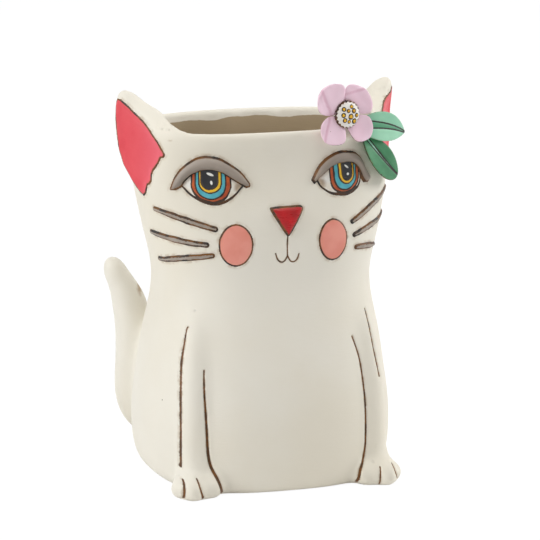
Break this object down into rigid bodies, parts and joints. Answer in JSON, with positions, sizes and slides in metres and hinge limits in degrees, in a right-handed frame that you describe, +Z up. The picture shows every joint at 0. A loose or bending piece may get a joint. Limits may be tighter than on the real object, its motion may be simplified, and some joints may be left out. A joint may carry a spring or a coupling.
{
  "type": "animal shaped planter",
  "caption": "Hollow plant pot in the shape of a sitting cat, open at the top of the head, with ears, tail, paws and a flower by one ear.",
  "frame": {"origin": "on the ground, in the middle of the overall box", "axes": "+Z up, the cat faces -Y, +X is the cat's own left"},
  "size_m": [0.1636, 0.1279, 0.2258],
  "materials": {
    "leaf_green": "matte paint",
    "plug_rubber": "matte",
    "flower_white": "matte paint",
    "cream_body": "matte, hand painted",
    "seed_yellow": "satin paint",
    "cheek_pink": "matte paint",
    "ear_lining_red": "matte paint",
    "eye_white": "satin paint",
    "lid_taupe": "matte paint",
    "iris_yellow": "satin paint",
    "iris_blue": "satin paint",
    "iris_orange": "satin paint",
    "pupil_black": "gloss paint",
    "whisker_taupe": "matte paint",
    "leaf_mint": "matte paint",
    "nose_red": "satin paint",
    "petal_pink": "matte paint"
  },
  "bodies": {
    "pot": {"dark_leaf": "leaf_green", "flower_centre": "flower_white", "flower_pad": "cream_body", "flower_seeds": "seed_yellow", "left_cheek": "cheek_pink", "left_ear": "cream_body", "left_ear_lining": "ear_lining_red", "left_eyeball": "eye_white", "left_eyelid": "lid_taupe", "left_front_leg": "cream_body", "left_iris_inner": "iris_yellow", "left_iris_middle": "iris_blue", "left_iris_outer": "iris_orange", "left_pupil": "pupil_black", "left_whisker_bottom": "whisker_taupe", "left_whisker_middle": "whisker_taupe", "left_whisker_top": "whisker_taupe", "light_leaf": "leaf_mint", "nose": "nose_red", "petal_1": "petal_pink", "petal_2": "petal_pink", "petal_3": "petal_pink", "petal_4": "petal_pink", "pot_shell": "cream_body", "right_cheek": "cheek_pink", "right_ear": "cream_body", "right_ear_lining": "ear_lining_red", "right_eyeball": "eye_white", "right_eyelid": "lid_taupe", "right_front_leg": "cream_body", "right_iris_inner": "iris_yellow", "right_iris_middle": "iris_blue", "right_iris_outer": "iris_orange", "right_pupil": "pupil_black", "right_whisker_bottom": "whisker_taupe", "right_whisker_middle": "whisker_taupe", "right_whisker_top": "whisker_taupe", "tail": "cream_body"},
    "plug": {"drain_plug": "plug_rubber"}
  },
  "joints": [
    {"name": "plug_lift", "type": "slide", "parent": "pot", "child": "plug", "axis": [0, 0, 1], "range_m": [0, 0.24]}
  ]
}
